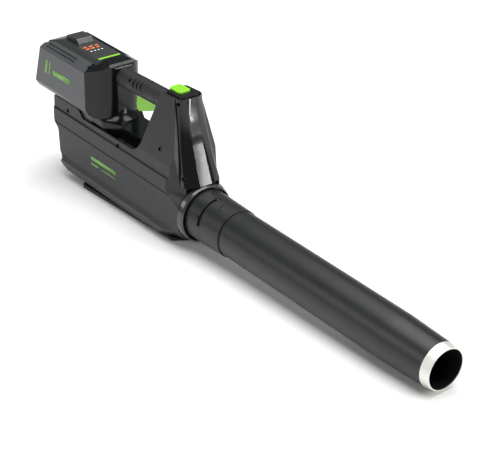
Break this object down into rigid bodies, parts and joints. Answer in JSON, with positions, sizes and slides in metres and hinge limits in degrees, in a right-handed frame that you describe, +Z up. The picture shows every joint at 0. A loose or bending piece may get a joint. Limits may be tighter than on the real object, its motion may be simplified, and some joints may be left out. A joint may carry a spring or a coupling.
{
  "type": "leaf blower",
  "caption": "Cordless axial leaf blower with a slide-in battery over its tail, a bridge handle with trigger, a top button and a long straight twist-on blow tube.",
  "frame": {"origin": "on the ground under the middle of the base skid", "axes": "+X forwards towards the nozzle, +Y to the blower's left, +Z up; the blow tube dips 2 degrees forwards"},
  "size_m": [1.0992, 0.116, 0.2886],
  "materials": {
    "flank_plastic": "matte",
    "cradle_plastic": "satin",
    "fairing_plastic": "gloss",
    "tube_plastic": "satin",
    "grip_rubber": "matte",
    "ring_metal": "satin",
    "trim_ring": "satin",
    "green_plastic": "gloss",
    "fan_plastic": "satin",
    "steel": "satin",
    "motor_steel": "satin",
    "heatsink_metal": "satin",
    "board": "satin",
    "cell_skin": "satin",
    "battery_plastic": "gloss",
    "label_film": "gloss",
    "switch_plastic": "matte",
    "base_plastic": "matte"
  },
  "bodies": {
    "housing": {"base_skid": "base_plastic", "battery_dock": "switch_plastic", "button_board": "board", "button_plate": "fairing_plastic", "button_spring": "steel", "controller_board": "board", "core_left": "cradle_plastic", "core_right": "cradle_plastic", "fairing_screws": "steel", "fan_duct": "fan_plastic", "flank_screws": "steel", "front_bearing": "steel", "front_fairing": "fairing_plastic", "handle_core": "flank_plastic", "handle_grip": "grip_rubber", "heatsink": "heatsink_metal", "intake_grille_left": "fan_plastic", "intake_grille_right": "fan_plastic", "motor_can": "motor_steel", "motor_stator": "motor_steel", "outlet_ring": "trim_ring", "outlet_spigot": "fan_plastic", "panel_left": "flank_plastic", "panel_right": "flank_plastic", "rear_bearing": "steel", "rear_cover": "flank_plastic", "stator_vanes": "fan_plastic", "tail_cone": "fan_plastic", "trigger_pin": "steel", "trigger_spring": "steel", "trigger_switch": "switch_plastic"},
    "fan": {"fan_impeller": "fan_plastic", "fan_nose": "fan_plastic", "motor_rotor": "motor_steel", "motor_shaft": "steel"},
    "trigger": {"trigger": "green_plastic"},
    "boost_button": {"boost_button": "green_plastic"},
    "battery": {"battery_tray": "battery_plastic", "battery_lid": "battery_plastic", "battery_label": "label_film", "battery_stripe": "green_plastic", "battery_cells": "cell_skin", "battery_board": "board", "battery_terminals": "switch_plastic"},
    "battery_latch": {"battery_latch": "fairing_plastic"},
    "blow_tube": {"tube_collar": "tube_plastic", "blow_tube": "tube_plastic", "nozzle_ring": "ring_metal"}
  },
  "joints": [
    {"name": "fan_spin", "type": "hinge", "parent": "housing", "child": "fan", "pos_m": [0.02946, 0, 0.07001], "axis": [0.9994, 0, -0.0349], "continuous": true},
    {"name": "trigger_pull", "type": "hinge", "parent": "housing", "child": "trigger", "pos_m": [0.06236, 0, 0.23847], "axis": [0, 1, 0], "range_deg": [0, 9], "stiffness_Nm_per_rad": 0.6, "springref_deg": -11.46, "deforming": ["trigger_spring"]},
    {"name": "boost_button_press", "type": "slide", "parent": "housing", "child": "boost_button", "axis": [-0.0349, 0, -0.9994], "range_m": [0, 0.003], "stiffness_N_per_m": 900, "springref_m": -0.001, "deforming": ["button_spring"]},
    {"name": "battery_slide", "type": "slide", "parent": "housing", "child": "battery", "axis": [-0.9994, 0, 0.0349], "range_m": [0, 0.195]},
    {"name": "battery_latch_press", "type": "slide", "parent": "battery", "child": "battery_latch", "axis": [-0.0349, 0, -0.9994], "range_m": [0, 0.003], "stiffness_N_per_m": 900, "springref_m": -0.001},
    {"name": "tube_twist", "type": "hinge", "parent": "housing", "child": "blow_tube", "pos_m": [0.24383, 0, 0.06253], "axis": [-0.9994, 0, 0.0349], "range_deg": [0, 74]}
  ]
}
